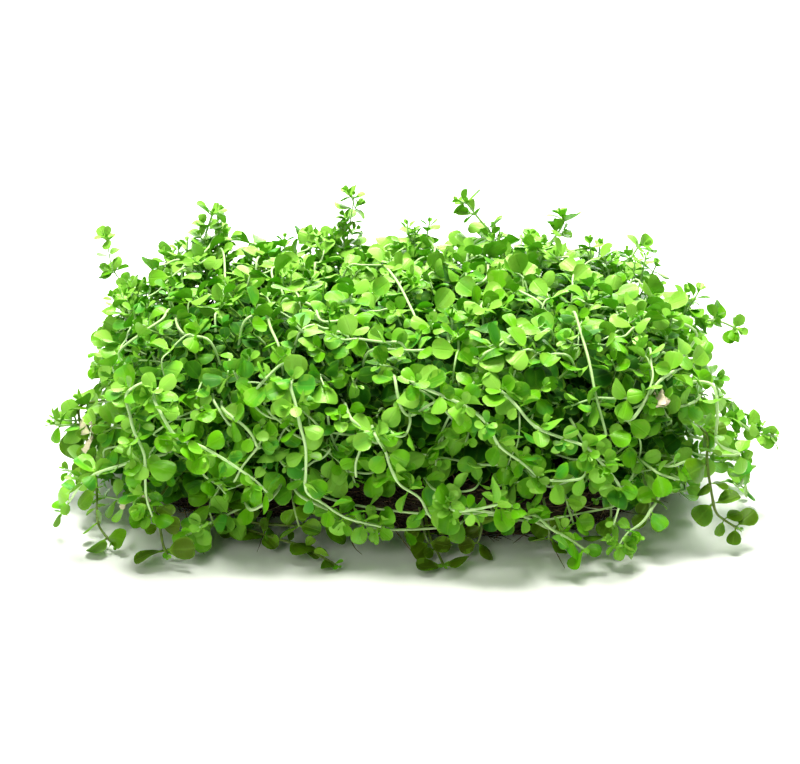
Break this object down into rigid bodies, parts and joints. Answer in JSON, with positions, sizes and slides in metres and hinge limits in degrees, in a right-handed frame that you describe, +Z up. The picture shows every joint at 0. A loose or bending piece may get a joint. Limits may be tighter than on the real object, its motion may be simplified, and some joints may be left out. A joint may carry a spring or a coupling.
{
  "type": "monte carlo carpet plant mat",
  "caption": "Lifted mat of a carpeting aquarium plant: cushion of small round leaves on a flat dark root pad, with loose trailing runners and standing shoots.",
  "frame": {"origin": "middle of the root pad's flat underside", "axes": "+X along the mat's length, to the right in the picture; +Y to the back; +Z up"},
  "size_m": [0.1608, 0.1219, 0.0587],
  "materials": {
    "root_pad": "matted dark brown root fibres, rough and matte",
    "leaves": "soft thin leaf, vivid yellow-green to mid green, waxy sheen",
    "runners": "pale green juicy stem with bright green leaves, waxy sheen"
  },
  "bodies": {
    "root": {"root_mat": "root_pad", "leaf_carpet": "leaves", "left_long_runner": "runners", "left_drop_runner": "runners", "left_front_runner": "runners", "left_crossing_runner": "runners", "left_hanging_runner": "runners", "front_arched_runner": "runners", "front_low_runner": "runners", "front_drop_runner": "runners", "front_centre_runner": "runners", "front_trio_runner": "runners", "front_upper_runner": "runners", "front_arc_runner": "runners", "front_sweep_runner": "runners", "right_pale_runner": "runners", "front_floor_pair": "runners", "right_corner_runner": "runners", "right_side_sprig": "runners", "right_low_runner": "runners", "top_tall_shoot": "runners", "top_left_tuft": "runners", "top_middle_shoot": "runners", "top_right_pair": "runners", "left_top_shoot": "runners", "top_corner_shoot": "runners", "right_shoulder_shoot": "runners", "right_back_runner": "runners", "back_right_runner": "runners", "back_drop_runner": "runners", "back_left_runner": "runners", "left_back_runner": "runners"}
  },
  "joints": []
}
